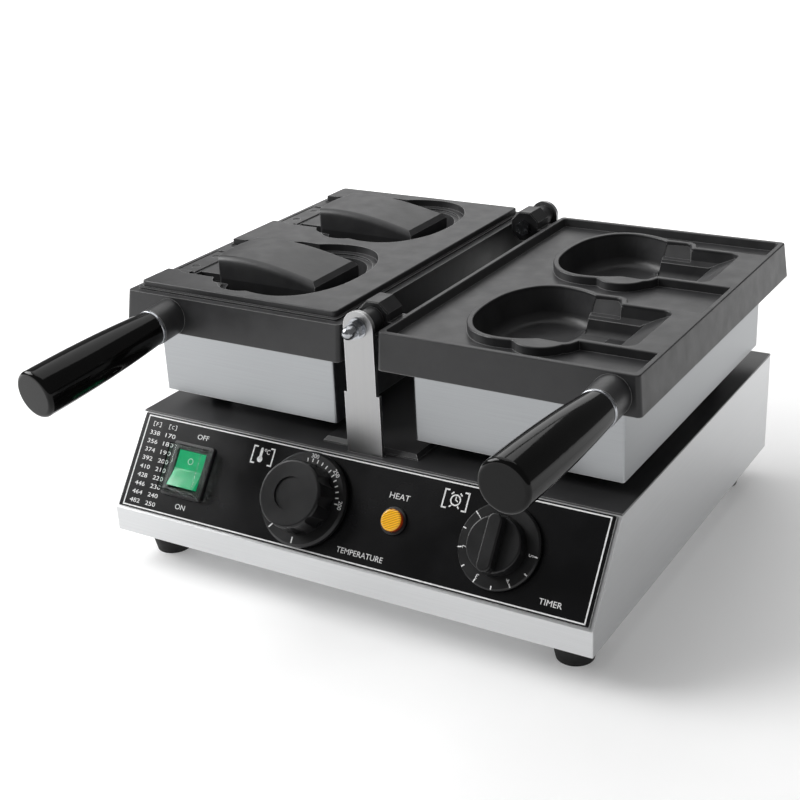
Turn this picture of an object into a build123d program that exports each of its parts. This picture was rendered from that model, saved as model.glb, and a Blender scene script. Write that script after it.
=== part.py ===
from build123d import *
import math
import os

# Twin-plate tabletop baker for filled waffles: two mould plates on one hinge line above a low base.
# Millimetres. X runs across the front, Y from the front to the back, Z up. While it is modelled,
# x = 0 is the hinge line, y = 0 the front face of the base and z = 0 the table. Every piece is
# moved along Y at the end, so that the origin lies under the middle of the whole length.

# Base housing
base_width = 360.0
base_depth = 320.0
foot_height = 22.0
apron_height = 17.5  # upright front strip below the sloped panel
slope_run = 42.0
slope_rise = 57.0
sheet = 1.2
deck_sheet = 1.2
panel_sheet = 0.8
panel_side_margin = 2.6
panel_end_margin = 1.6
panel_corner_radius = 1.0
base_edge_radius = 1.0
flange_width = 14.0
plate_fit = 0.3  # bottom plate to the walls round it
bottom_slot_count = 9
bottom_slot_length = 60.0
bottom_slot_width = 4.0
bottom_slot_pitch = 12.0
vent_count = 7
vent_length = 28.0
vent_width = 3.0
vent_pitch = 8.0

# Feet
foot_top_radius = 17.0
foot_base_radius = 12.0
foot_side_inset = 24.0
foot_front_inset = 29.0
foot_screw_radius = 2.0
foot_screw_head_radius = 4.0
foot_screw_head_height = 2.5
foot_recess_depth = 12.0
foot_recess_room = 1.0
small_screw_radius = 1.5
small_head_radius = 3.0
small_head_height = 1.6
screw_clearance = 0.1  # hole radius over screw radius

# Mould plates
plate_gap = 13.9  # hinge line to the inner edge of a plate
plate_width = 172.6
plate_length = 270.8
plate_thickness = 24.6
plate_front_y = 46.3
plate_bottom_z = 158.4
plate_flare = 2.6  # how much further out the sides stand at the bottom than at the top
plate_corner_radius = 3.0
plate_edge_radius = 1.0
closed_gap = 0.9  # between the rims when one plate lies on the other
underside_recess = 12.0
cavity_wall = 6.0

# Female plate
rim_width = 3.6
recess_depth = 5.9
recess_draft_angle = 12.0
lip_width = 3.9
lip_edge_radius = 0.9
lip_wall = 2.0  # upright part of a cavity's wall
cavity_depth = 24.0
cavity_draft_angle = 9.0
bowl_floor_radius = 8.0
bowl_throat_half = 30.0  # the bowl's opening beside the cheeks and the jaw
cheek_depth = 10.0
cheek_floor_half = 36.5
jaw_depth = 8.5
jaw_floor_half = 32.0
jaw_step_depth = 12.0
jaw_ramp_run = 14.0
channel_depth = 22.0
channel_end_x = 149.0
channel_floor_radius = 5.0

# Male plate
step_inset = 4.8
step_height = 1.5
plateau_inset = 7.0
plateau_height = 5.6
pocket_margin = 8.2  # waffle outline to the pocket's wall
pocket_swell_clearance = 1.2
ledge_rise = 0.3  # outer ledge above the rim level
inner_ledge_width = 3.6
inner_ledge_drop = 1.2  # inner ledge below the rim level
bowl_depth = 19.0

# Outline of one waffle, measured from its own middle line, x from the hinge line
waffle_pitch = 126.6
waffle_middle_inset = 73.6  # plate front to the middle of the front waffle
head_near_x = 52.5
side_x = 53.9
side_half = 17.0
temple_x = 64.5
temple_half = 40.3
crown_x = 84.0
head_half = 49.5
notch_x = 109.0
notch_half = 42.4
cheek_far_x = 127.0
cheek_half = 43.1
jaw_near_x = 131.0
jaw_half = 33.0
jaw_far_x = 166.5
cheek_radius = 5.0
jaw_corner_radius = 7.0
waffle_corner_radius = 2.5

# Swelling of each lip on its near side
swell_x = 110.0
swell_middle = 39.5
swell_radius = 18.4

# Filling cores; the neck is between a core's end and the pad that is screwed down
core_tip_x = 63.0
core_bevel = 2.4
core_tip_rise = 5.6  # all rises are above the rim level
core_slope_x = 90.0
core_slope_rise = 11.6
core_crown_x = 120.0
core_crown_rise = 15.3
core_end_x = 143.5
core_end_rise = 14.2
core_end_bulge = 5.0
core_half = 27.5
core_flank_lean = 1.5
core_edge_radius = 4.5
core_corner_radius = 5.0
core_drop = 12.0  # below the rim level
neck_half = 18.0
neck_rise = 5.4  # height of the neck's section
pad_near_x = 168.0
pad_far_x = 183.6
pad_half = 23.0
pad_thickness = 7.0
pad_edge_radius = 0.8
pad_fit = 0.2  # slot round the pad
core_screw_spacing = 24.0
core_screw_reach = 4.0  # into the plate below the pad
core_screw_seat = 0.3  # room round and above a sunk head

# Heater boxes
box_inset_hinge = 16.3
box_inset_outer = 13.6
box_inset_front = 14.0
box_inset_back = 9.2
box_height = 51.6
box_sheet = 1.0
box_corner_radius = 1.5
box_flange = 7.0
box_screw_inset = 30.0
box_wire_rise = 20.0  # box floor to the wire hole

# Heating elements and what holds them
element_radius = 4.0
element_bend_radius = 9.0
element_inset_x = 26.0
element_inset_y = 34.0
element_leg_gap = 40.0
element_leg_reach = 12.0  # cold ends, inwards of the loop
element_leg_inset = 22.0
clamp_thickness = 3.0
clamp_width = 14.0
clamp_end_gap = 16.0
clamp_post_radius = 4.0
clamp_post_gap = 4.35  # between a post and the tube beside it

# Hinge
bolt_radius = 3.0
bolt_clearance = 0.05
strap_thickness = 3.0
strap_width = 26.0
strap_top_width = 21.6
strap_step_z = 138.5
strap_foot_length = 28.0
strap_screw_inset = 9.8  # foot's end to its screws
strap_slot_fit = 0.3
small_lug_radius = 8.0
small_lug_length = 14.5
large_lug_radius = 11.3
large_lug_length = 18.0
large_lug_sides = 8
lug_side_gap = 0.5
lug_edge = 0.8
lug_arm_drop = 0.5  # top of a lug's arm below the rim level
nut_radius = 5.8
nut_height = 5.2
acorn_radius = 4.3
acorn_height = 8.4
acorn_thread = 4.0  # how far a bolt goes into its acorn nut
washer_radius = 6.6
washer_thickness = 1.2
bolt_head_height = 4.0

# Raised channel between the straps
channel_width = 72.0
channel_height = 3.4
channel_bevel = 2.4
channel_front_y = 52.0

# Bumpers on the deck
bumper_radius = 7.0
bumper_inset = 26.0

# Handles
boss_radius = 12.5
boss_length = 23.3  # along Y, plate front to the ferrule
boss_centre_drop = 14.0  # below the rim level, at the plate
left_boss_inset = 35.8  # plate's outer edge to the boss, further in than on the other plate
right_boss_inset = 16.6
left_boss_shift = 4.2  # sideways from the plate to the ferrule
right_boss_shift = 1.9
boss_climb = 0.6  # upwards from the plate to the ferrule
boss_root_depth = 3.0  # how far the boss starts inside the plate
left_droop_angle = 7.0
right_droop_angle = 2.2
left_splay_angle = 7.6
right_splay_angle = 4.3
stud_radius = 4.0
stud_length = 74.0
stud_in_boss = 14.0
ferrule_radius = 12.4
ferrule_length = 2.2
ferrule_edge_radius = 0.6
grip_length = 96.0
grip_end_cap = 4.0
grip_root_radius = 11.9
grip_mid_radius = 15.2
grip_end_radius = 16.0
grip_mid_at = 50.0
grip_end_round = 2.8

# Controls, x across and s up the slope to their middles
control_s = 35.4
switch_inset = 52.2  # base end to the middle of the switch
switch_width = 34.0
switch_height = 38.0
switch_bezel = 2.0
switch_body_width = 29.6
switch_body_height = 33.6
switch_body_depth = 24.0
switch_well_depth = 9.5
rocker_width = 22.6
rocker_half_length = 13.0
rocker_end_rise = 3.6
rocker_middle_rise = 1.4
rocker_depth = 4.6
rocker_tilt_angle = 9.0
rocker_foot_taper = 1.5
rocker_pin_radius = 1.5
rocker_pin_reach = 1.6  # beyond the rocker on each side
rocker_pin_room = 0.2
rocker_pivot_depth = 2.6  # below the bezel's face
switch_corner_radius = 2.0
switch_edge_radius = 0.7
switch_blade_count = 3
switch_blade_pitch = 6.0
switch_blade_length = 8.0
switch_blade_thickness = 0.8
rocker_side_gap = 0.5
rocker_end_gap = 0.7
cover_height = 9.0
cover_wall = 0.9
cover_draft_angle = 8.0
cover_margin = 1.6
cover_corner_radius = 2.0

temperature_x = -30.6
temperature_skirt_radius = 31.6
temperature_skirt_height = 4.5
temperature_grip_radius = 23.6
temperature_grip_height = 17.0
temperature_cap_radius = 11.0
temperature_cap_sink = 1.2
temperature_skirt_bevel = 1.6
temperature_grip_draft_angle = 4.0
temperature_grip_round = 2.0
temperature_flute_base = 0.8  # skirt to the foot of the flutes
temperature_flute_bite = 1.9
temperature_flute_count = 10
temperature_flute_radius = 6.5

lamp_x = 35.7
lamp_edge_radius = 0.5
lamp_lens_round = 1.4
lamp_bezel_radius = 9.0
lamp_bezel_height = 1.6
lamp_lens_radius = 7.2
lamp_seat = 0.5
lamp_lens_height = 4.6
lamp_body_radius = 6.6
lamp_body_depth = 24.0

timer_inset = 69.2  # base end to the middle of the timer
timer_skirt_radius = 27.0
timer_skirt_height = 3.0
timer_hub_radius = 18.5
timer_hub_height = 8.5
timer_bar_length = 38.5
timer_bar_width = 12.0
timer_bar_height = 15.0
timer_skirt_bevel = 1.0
timer_bar_draft_angle = 5.0
timer_bar_round = 1.2

knob_gap = 1.2  # panel to the underside of a knob
shaft_radius = 3.0
bush_radius = 4.8
bush_reach = 5.0
shaft_in_knob = 10.0
shaft_in_body = 12.0
control_body_width = 38.0
control_body_height = 34.0
control_body_depth = 26.0
bush_clearance = 1.2  # knob's hollow round the threaded neck
bush_thread_gap = 0.4
knob_bore_clearance = 0.02
body_bore_clearance = 0.05

# Mains inlet and terminals
gland_inset = 70.0  # base end to the middle of the gland
gland_rise = 26.0
gland_radius = 7.0
gland_nut_radius = 11.0
gland_reach = 9.0
gland_bore_radius = 4.0
gland_inside = 6.0
gland_nut_depth = 5.0
gland_lock_nut = 4.0
vent_lift = 6.0
terminal_length = 50.0
terminal_width = 22.0
terminal_height = 18.0
terminal_inset = 88.0
terminal_back_gap = 44.0
terminal_count = 3
terminal_hole_radius = 3.5
terminal_hole_depth = 8.0

# Levels worked out from the above
base_bottom_z = foot_height
apron_top_z = base_bottom_z + apron_height
deck_z = apron_top_z + slope_rise
shell_top_z = deck_z - deck_sheet
slope_length = math.hypot(slope_run, slope_rise)
slope_cos = slope_run / slope_length
slope_sin = slope_rise / slope_length
plate_top_z = plate_bottom_z + plate_thickness
plate_back_y = plate_front_y + plate_length
plateau_z = plate_top_z + plateau_height
axis_height = plate_top_z + closed_gap / 2
box_bottom_z = plate_bottom_z - box_height
plate_outer_x = plate_gap + plate_width
front_middle_y = plate_front_y + waffle_middle_inset
ledge_z = plate_top_z + ledge_rise
inner_ledge_z = plate_top_z - inner_ledge_drop
pad_top_z = plate_top_z - inner_ledge_drop / 4
switch_x = switch_inset - base_width / 2
timer_x = base_width / 2 - timer_inset
gland_x = base_width / 2 - gland_inset
terminal_x = base_width / 2 - terminal_inset
floor_z = base_bottom_z + 2 * sheet
cavity_bottom_z = plate_top_z - cavity_depth
boss_z = plate_top_z - boss_centre_drop
screw_hole_radius = small_screw_radius + screw_clearance
stud_hole_radius = stud_radius + screw_clearance


def block(x0, x1, y0, y1, z0, z1):
    return Pos((x0 + x1) / 2, (y0 + y1) / 2, (z0 + z1) / 2) * Box(abs(x1 - x0), abs(y1 - y0), abs(z1 - z0))


def rod(radius, start, direction, length):
    plane = Plane(origin=start, z_dir=direction)
    return extrude(plane * Circle(radius), amount=length)


def hexagon(radius, start, direction, length):
    plane = Plane(origin=start, z_dir=direction)
    return extrude(plane * RegularPolygon(radius, 6), amount=length)


def on_panel(x, s=control_s, out=0.0):
    # Local axes: x to the right, y up the slope, z out of it
    y = s * slope_cos - out * slope_sin
    z = apron_top_z + s * slope_sin + out * slope_cos
    return Plane(origin=(x, y, z), x_dir=(1, 0, 0), z_dir=(0, -slope_sin, slope_cos)).location


def group(shapes):
    return Compound(children=[s for shape in shapes for s in shape.solids()])


def side_profile():
    points = [
        (0, base_bottom_z),
        (0, apron_top_z),
        (slope_run, deck_z),
        (base_depth, deck_z),
        (base_depth, base_bottom_z),
    ]
    return Plane.YZ * make_face(Polyline(*points, close=True))


# Control cut-outs that both the shell and the printed panel share
def panel_cuts():
    depth = 2 * sheet + 2 * panel_sheet
    low = -sheet - panel_sheet
    body = Rectangle(switch_body_width, switch_body_height)
    cuts = on_panel(switch_x, out=low) * extrude(body, amount=depth)
    for x in (temperature_x, timer_x):
        cuts += on_panel(x, out=low) * extrude(Circle(bush_radius + screw_clearance), amount=depth)
    cuts += on_panel(lamp_x, out=low) * extrude(Circle(lamp_body_radius + screw_clearance), amount=depth)
    return cuts


def strap_slots():
    half = strap_width / 2 + strap_slot_fit
    slots = []
    for y0 in (plate_front_y, plate_back_y - strap_thickness):
        y1 = y0 + strap_thickness
        low = shell_top_z - 2 * sheet
        high = deck_z + 2 * channel_height
        slots.append(block(-half, half, y0 - strap_slot_fit, y1 + strap_slot_fit, low, high))
    return slots[0] + slots[1]


def base_shell():
    solid = extrude(side_profile(), amount=base_width / 2, both=True)
    upright = solid.edges().filter_by(Axis.Z)
    solid = fillet(upright, base_edge_radius)
    solid -= block(-base_width, base_width, -1, base_depth + 1, shell_top_z, deck_z + 1)
    inner = offset(side_profile().face(), -sheet, kind=Kind.INTERSECTION)
    hollow = extrude(inner, amount=base_width / 2 - sheet, both=True)
    hollow &= block(-base_width, base_width, 0, base_depth, floor_z, shell_top_z - sheet)
    solid -= hollow
    for edge, top in ((sheet, base_bottom_z + sheet), (sheet + flange_width, floor_z + 1)):
        half = base_width / 2 - edge
        solid -= block(-half, half, edge, base_depth - edge, base_bottom_z - 1, top)
    solid -= panel_cuts()
    solid -= strap_slots()
    for x, y in strap_screw_places():
        solid -= rod(screw_hole_radius, (x, y, shell_top_z - 2 * sheet), (0, 0, 1), 3 * sheet)
    gland_z = base_bottom_z + gland_rise
    outside = base_depth + 1
    solid -= rod(gland_radius + screw_clearance, (gland_x, outside, gland_z), (0, -1, 0), 2 * sheet + 1)
    for i in range(vent_count):
        x = -gland_x + (i - (vent_count - 1) / 2) * vent_pitch
        wall = Plane(origin=(x, outside, gland_z + vent_lift), z_dir=(0, -1, 0))
        solid -= extrude(wall * SlotOverall(vent_length, vent_width, rotation=90), amount=2 * sheet + 1)
    for x, y in cover_screw_places():
        solid -= rod(screw_hole_radius, (x, y, base_bottom_z), (0, 0, 1), 3 * sheet)
    return solid


def cover_screw_places():
    inset = sheet + flange_width / 2
    xs = (-base_width / 4, base_width / 4)
    return [(x, y) for x in xs for y in (inset, base_depth - inset)]


def foot_places():
    xs = (-base_width / 2 + foot_side_inset, base_width / 2 - foot_side_inset)
    return [(x, y) for x in xs for y in (foot_front_inset, base_depth - foot_front_inset)]


def strap_screw_places():
    places = []
    inset = strap_foot_length - strap_screw_inset
    for y in (plate_front_y + inset, plate_back_y - inset):
        places += [(-strap_width / 4, y), (strap_width / 4, y)]
    return places


def bottom_plate():
    edge = sheet + plate_fit
    low = base_bottom_z
    plate = block(-base_width / 2 + edge, base_width / 2 - edge, edge, base_depth - edge, low, low + sheet)
    for x, y in foot_places():
        plate -= rod(foot_screw_radius + screw_clearance, (x, y, low - 1), (0, 0, 1), sheet + 2)
    for x, y in cover_screw_places():
        plate -= rod(screw_hole_radius, (x, y, low - 1), (0, 0, 1), sheet + 2)
    for i in range(bottom_slot_count):
        y = base_depth / 2 + (i - (bottom_slot_count - 1) / 2) * bottom_slot_pitch
        for x in (-base_width / 4, base_width / 4):
            slot = Pos(x, y, low - 1) * SlotOverall(bottom_slot_length, bottom_slot_width)
            plate -= extrude(slot, amount=sheet + 2)
    return plate


def cover_screws():
    screws = []
    low = base_bottom_z - small_head_height
    for x, y in cover_screw_places():
        head = rod(small_head_radius, (x, y, low), (0, 0, 1), small_head_height)
        screws.append(head + rod(small_screw_radius, (x, y, base_bottom_z), (0, 0, 1), 4 * sheet))
    return group(screws)


def rubber_feet():
    feet = []
    for x, y in foot_places():
        mouth = foot_screw_head_radius + foot_recess_room
        outline = Polyline(
            (foot_screw_radius + screw_clearance, foot_recess_depth),
            (mouth, foot_recess_depth),
            (mouth, 0),
            (foot_base_radius, 0),
            (foot_top_radius, foot_height),
            (foot_screw_radius + screw_clearance, foot_height),
            close=True,
        )
        feet.append(Pos(x, y, 0) * revolve(Plane.XZ * make_face(outline), Axis.Z))
    return group(feet)


def foot_screws():
    screws = []
    low = foot_recess_depth - foot_screw_head_height
    for x, y in foot_places():
        head = rod(foot_screw_head_radius, (x, y, low), (0, 0, 1), foot_screw_head_height)
        shank = rod(foot_screw_radius, (x, y, foot_recess_depth), (0, 0, 1), foot_recess_depth + sheet)
        screws.append(head + shank)
    return group(screws)


def deck_plate():
    plate = extrude(side_profile(), amount=base_width / 2, both=True)
    plate &= block(-base_width, base_width, 0, base_depth, shell_top_z, deck_z)
    plate = fillet(plate.edges().filter_by(Axis.Z), base_edge_radius)
    plate -= strap_slots()
    for x, y in strap_screw_places():
        plate -= rod(screw_hole_radius, (x, y, shell_top_z - 1), (0, 0, 1), deck_sheet + 2)
    return plate


def centre_channel():
    half = channel_width / 2
    y1 = plate_front_y + plate_back_y - channel_front_y
    solid = block(-half, half, channel_front_y, y1, deck_z, deck_z + channel_height)
    top = solid.edges().group_by(Axis.Z)[-1]
    solid = chamfer(top, channel_bevel)
    return solid - strap_slots()


def control_panel():
    width = base_width - 2 * panel_side_margin
    height = slope_length - 2 * panel_end_margin
    plate = extrude(RectangleRounded(width, height, panel_corner_radius), amount=panel_sheet)
    return on_panel(0, slope_length / 2) * plate - panel_cuts()


def strap(front):
    y0 = plate_front_y if front else plate_back_y - strap_thickness
    y1 = y0 + strap_thickness
    low = shell_top_z - sheet - strap_thickness
    half = strap_width / 2
    upper = strap_top_width / 2
    step_z = strap_step_z
    right = Polyline((-half, low), (half, low), (half, step_z), (upper, step_z), (upper, axis_height))
    arc = ThreePointArc((upper, axis_height), (0, axis_height + upper), (-upper, axis_height))
    left = Polyline((-upper, axis_height), (-upper, step_z), (-half, step_z), (-half, low))
    face = make_face(Curve() + [right, arc, left])
    bar = extrude(Plane.XZ.offset(-y0) * face, amount=-strap_thickness)
    foot_y0, foot_y1 = (y0, y0 + strap_foot_length) if front else (y1 - strap_foot_length, y1)
    bar += block(-half, half, foot_y0, foot_y1, low, low + strap_thickness)
    bar -= rod(bolt_radius + bolt_clearance, (0, y0 - 1, axis_height), (0, 1, 0), strap_thickness + 2)
    for x, y in strap_screw_places():
        bar -= rod(screw_hole_radius, (x, y, low - 1), (0, 0, 1), strap_thickness + 2)
    return bar


def strap_screws():
    screws = []
    for x, y in strap_screw_places():
        low = shell_top_z - sheet - strap_thickness
        head = rod(small_head_radius, (x, y, low - small_head_height), (0, 0, 1), small_head_height)
        screws.append(head + rod(small_screw_radius, (x, y, low), (0, 0, 1), deck_z - low))
    return group(screws)


# Places along a hinge pin, from its strap inwards: dir is +1 at the front and -1 at the back
def hinge_place(front):
    if front:
        return plate_front_y, 1
    return plate_back_y, -1


def lug_spans(front):
    start, way = hinge_place(front)
    first = start + way * (strap_thickness + lug_side_gap)
    second = first + way * (small_lug_length + lug_side_gap)
    end = second + way * (large_lug_length + lug_side_gap)
    return first, second, end, way


def hinge_bolts():
    bolts = []
    for front in (True, False):
        end, way = lug_spans(front)[2:]
        start = hinge_place(front)[0]
        tip = start - way * (washer_thickness + nut_height + acorn_thread)
        shank = rod(bolt_radius, (0, tip, axis_height), (0, way, 0), abs(end - tip))
        head = hexagon(nut_radius, (0, end, axis_height), (0, way, 0), bolt_head_height)
        bolts.append(shank + head)
    return group(bolts)


def hinge_nuts():
    nuts = []
    for front in (True, False):
        start, way = hinge_place(front)
        face_y = start - way * washer_thickness
        nut = hexagon(nut_radius, (0, face_y, axis_height), (0, -way, 0), nut_height)
        nut -= rod(bolt_radius + bolt_clearance, (0, face_y, axis_height), (0, -way, 0), nut_height)
        nuts.append(nut)
    return group(nuts)


def acorn_nuts():
    nuts = []
    for front in (True, False):
        start, way = hinge_place(front)
        face_y = start - way * (washer_thickness + nut_height)
        barrel = acorn_height - acorn_radius
        nut = rod(acorn_radius, (0, face_y, axis_height), (0, -way, 0), barrel)
        far = face_y - way * barrel
        dome = Pos(0, far, axis_height) * Sphere(acorn_radius)
        wide = 2 * acorn_radius
        nut += dome & block(-wide, wide, far, far - way * wide, axis_height - wide, axis_height + wide)
        hole = rod(bolt_radius + bolt_clearance, (0, face_y, axis_height), (0, -way, 0), acorn_thread)
        nuts.append(nut - hole)
    return group(nuts)


def hinge_washers():
    rings = []
    for front in (True, False):
        start, way = hinge_place(front)
        ring = rod(washer_radius, (0, start, axis_height), (0, -way, 0), washer_thickness)
        hole = rod(bolt_radius + bolt_clearance, (0, start, axis_height), (0, -way, 0), washer_thickness)
        rings.append(ring - hole)
    return group(rings)


def lug(y0, y1, radius, side, sides=0):
    way = 1 if y1 > y0 else -1
    length = abs(y1 - y0)
    if sides:
        outline = RegularPolygon(radius, sides, major_radius=False, rotation=180 / sides)
        barrel = extrude(Plane(origin=(0, y0, axis_height), z_dir=(0, way, 0)) * outline, amount=length)
        barrel = chamfer(barrel.edges().filter_by(Axis.Y, reverse=True), lug_edge)
    else:
        barrel = rod(radius, (0, y0, axis_height), (0, way, 0), length)
    arm = block(0, side * plate_gap, y0, y1, axis_height - radius, plate_top_z - lug_arm_drop)
    solid = barrel + arm
    solid -= rod(bolt_radius + bolt_clearance, (0, y0, axis_height), (0, way, 0), length)
    return solid


def left_hinge_lugs():
    lugs = []
    for front in (True, False):
        first, _, _, way = lug_spans(front)
        lugs.append(lug(first, first + way * small_lug_length, small_lug_radius, -1))
    return group(lugs)


def right_hinge_lugs():
    lugs = []
    for front in (True, False):
        _, second, _, way = lug_spans(front)
        end = second + way * large_lug_length
        lugs.append(lug(second, end, large_lug_radius, 1, large_lug_sides))
    return group(lugs)


def rest_bumpers():
    bumpers = []
    x0, x1, y0, y1 = box_limits()
    for side in (-1, 1):
        for x in (x0 + bumper_inset, x1 - bumper_inset):
            for y in (y0 + bumper_inset, y1 - bumper_inset):
                bumpers.append(rod(bumper_radius, (side * x, y, deck_z), (0, 0, 1), box_bottom_z - deck_z))
    return group(bumpers)


# The flat outline of one waffle, middle line on y = 0, grown by a margin
def waffle_face(margin=0.0):
    near = ThreePointArc((side_x, -side_half), (head_near_x, 0), (side_x, side_half))
    temple = TangentArc((side_x, side_half), (temple_x, temple_half), tangent=near % 1)
    crown = TangentArc((temple_x, temple_half), (crown_x, head_half), tangent=temple % 1)
    brow = TangentArc((crown_x, head_half), (notch_x, notch_half), tangent=crown % 1)
    jaw = Polyline(
        (notch_x, notch_half),
        (cheek_far_x, cheek_half),
        (jaw_near_x, jaw_half),
        (jaw_far_x, jaw_half),
        (jaw_far_x, 0),
    )
    upper = [temple, crown, brow, jaw]
    lower = [mirror(curve, Plane.XZ) for curve in upper]
    face = make_face(Curve() + [near, *upper, *lower])
    face = round_corners(face, cheek_far_x, cheek_radius)
    face = round_corners(face, jaw_far_x, jaw_corner_radius)
    face = round_corners(face, jaw_near_x, waffle_corner_radius)
    face = round_corners(face, notch_x, waffle_corner_radius)
    if margin:
        face = offset(face, margin, kind=Kind.ARC)
    return face


def round_corners(face, x, radius):
    corners = [v for v in face.vertices() if abs(v.X - x) < 0.01]
    return fillet(corners, radius)


# The outline of a lip or of the pocket that takes it, with the swelling on its near side
def lip_face(margin, swell_clearance=0.0):
    radius = swell_radius + swell_clearance
    middle = Vector(swell_x, -swell_middle)
    face = (waffle_face(margin) + Pos(swell_x, -swell_middle) * Circle(radius)).face()
    joins = [v for v in face.vertices() if abs((Vector(v.X, v.Y) - middle).length - radius) < 0.01]
    return fillet(joins, waffle_corner_radius)


def waffle_middles():
    return [front_middle_y, front_middle_y + waffle_pitch]


# A plate's body: upright on the hinge side, flared towards the bottom on the other three
def slab(top_z):
    y0 = plate_front_y
    y1 = plate_back_y
    flare = plate_flare
    top = Pos((plate_gap + plate_outer_x) / 2, (y0 + y1) / 2, top_z)
    top = top * RectangleRounded(plate_width, plate_length, plate_corner_radius)
    low = Pos((plate_gap + plate_outer_x + flare) / 2, (y0 + y1) / 2, plate_bottom_z)
    low = low * RectangleRounded(plate_width + flare, plate_length + 2 * flare, plate_corner_radius)
    return loft([low, top], ruled=True)


def underside(solid):
    inset = box_sheet + box_flange
    x0, x1, y0, y1 = box_limits()
    ceiling_z = plate_bottom_z + underside_recess
    solid -= block(x0 + inset, x1 - inset, y0 + inset, y1 - inset, plate_bottom_z - 1, ceiling_z)
    for y in waffle_middles():
        face = Pos(0, y, ceiling_z) * waffle_face(cavity_wall)
        bulge = extrude(face, amount=-(ceiling_z - cavity_bottom_z + cavity_wall))
        bulge &= block(x0 + inset, x1 - inset, y0 + inset, y1 - inset, 0, plate_top_z)
        solid += bulge
    return solid


def boss_root(side):
    inset = left_boss_inset if side < 0 else right_boss_inset
    return side * (plate_outer_x - inset)


# At the ferrule's seat: local z runs along the grip, towards the front
def boss_frame(side):
    droop = left_droop_angle if side < 0 else right_droop_angle
    splay = left_splay_angle if side < 0 else right_splay_angle
    shift = left_boss_shift if side < 0 else right_boss_shift
    heading = Rot(0, 0, -splay) * Rot(droop, 0, 0)
    seat = Pos(boss_root(side) + shift, plate_front_y - boss_length, boss_z + boss_climb)
    return seat * heading * Rot(90, 0, 0)


def add_boss(solid, side):
    inner_y = plate_front_y + boss_root_depth
    root = Plane(origin=(boss_root(side), inner_y, boss_z), z_dir=(0, -1, 0)) * Circle(boss_radius)
    seat = boss_frame(side) * Circle(boss_radius)
    solid += loft([root, seat], ruled=True)
    hole = Pos(0, 0, -stud_in_boss) * extrude(Circle(stud_hole_radius), amount=stud_length)
    return solid - boss_frame(side) * hole


# One cavity: an upright wall at the mouth, then a deep rounded bowl, two cheek pockets, and a shallow
# jaw with a channel for the core
def cavity(middle_y):
    mouth = extrude(waffle_face(), amount=-lip_wall)
    below = extrude(waffle_face(), amount=-cavity_depth)
    near = ThreePointArc((side_x, -side_half), (head_near_x, 0), (side_x, side_half))
    temple = TangentArc((side_x, side_half), (temple_x, temple_half), tangent=near % 1)
    crown = TangentArc((temple_x, temple_half), (crown_x, head_half), tangent=temple % 1)
    brow = TangentArc((crown_x, head_half), (notch_x, notch_half), tangent=crown % 1)
    throat_x = notch_x + waffle_corner_radius
    throat = Polyline(
        (notch_x, notch_half), (throat_x, bowl_throat_half), (jaw_near_x, bowl_throat_half), (jaw_near_x, 0)
    )
    upper = [temple, crown, brow, throat]
    lower = [mirror(curve, Plane.XZ) for curve in upper]
    bowl = Pos(0, 0, -lip_wall) * make_face(Curve() + [near, *upper, *lower])
    bowl = extrude(bowl, amount=lip_wall - cavity_depth, taper=cavity_draft_angle)
    bowl = fillet(bowl.edges().group_by(Axis.Z)[0], bowl_floor_radius)

    cheeks = across(notch_x, jaw_near_x, cheek_half, cheek_floor_half, -lip_wall, -cheek_depth)
    jaw = across(notch_x, jaw_far_x, jaw_half, jaw_floor_half, -lip_wall, -jaw_depth)
    jaw += across(notch_x, jaw_far_x, jaw_floor_half, bowl_throat_half, -jaw_depth, -jaw_step_depth)
    slope = jaw_ramp_run / (jaw_depth - lip_wall)
    ramp = Polyline(
        (notch_x, -lip_wall),
        (jaw_far_x, -lip_wall),
        (jaw_far_x - slope * (jaw_step_depth - lip_wall), -jaw_step_depth),
        (notch_x, -jaw_step_depth),
        close=True,
    )
    jaw &= extrude(Plane.XZ * make_face(ramp), amount=jaw_half, both=True)
    draft = math.tan(math.radians(cavity_draft_angle))
    floor_half = bowl_throat_half - (channel_depth - jaw_depth) * draft
    channel = across(notch_x, channel_end_x, bowl_throat_half, floor_half, -jaw_depth, -channel_depth)
    channel = fillet(channel.edges().filter_by(Axis.X).group_by(Axis.Z)[0], channel_floor_radius)
    solid = mouth + (bowl & below) + (cheeks & below) + (jaw & below) + channel
    return Pos(0, middle_y, plate_top_z) * solid


# A bar along X whose section is top_half wide at high_z and floor_half wide at low_z
def across(x0, x1, top_half, floor_half, high_z, low_z):
    section = Polyline(
        (-top_half, high_z), (top_half, high_z), (floor_half, low_z), (-floor_half, low_z), close=True
    )
    return extrude(Plane.YZ.offset(x0) * make_face(section), amount=x1 - x0)


def right_mould_plate():
    solid = slab(plate_top_z)
    width = plate_width - 2 * rim_width
    length = plate_length - 2 * rim_width
    middle_x = plate_gap + plate_width / 2
    middle_y = plate_front_y + plate_length / 2
    floor = Pos(middle_x, middle_y, plate_top_z) * RectangleRounded(width, length, plate_corner_radius)
    recess = extrude(floor, amount=-recess_depth, taper=recess_draft_angle)
    half = jaw_half + lip_width
    for y in waffle_middles():
        recess -= extrude(Pos(0, y, plate_top_z - recess_depth) * lip_face(lip_width), amount=recess_depth)
        recess -= block(jaw_near_x + lip_width, plate_outer_x, y - half, y + half, 0, plate_top_z + 1)
    solid -= recess
    solid = underside(solid)
    for y in waffle_middles():
        solid -= cavity(y)
    solid = fillet(top_edges(solid, False), lip_edge_radius)
    solid = fillet(top_edges(solid, True), lip_edge_radius)
    return add_boss(solid, 1)


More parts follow.
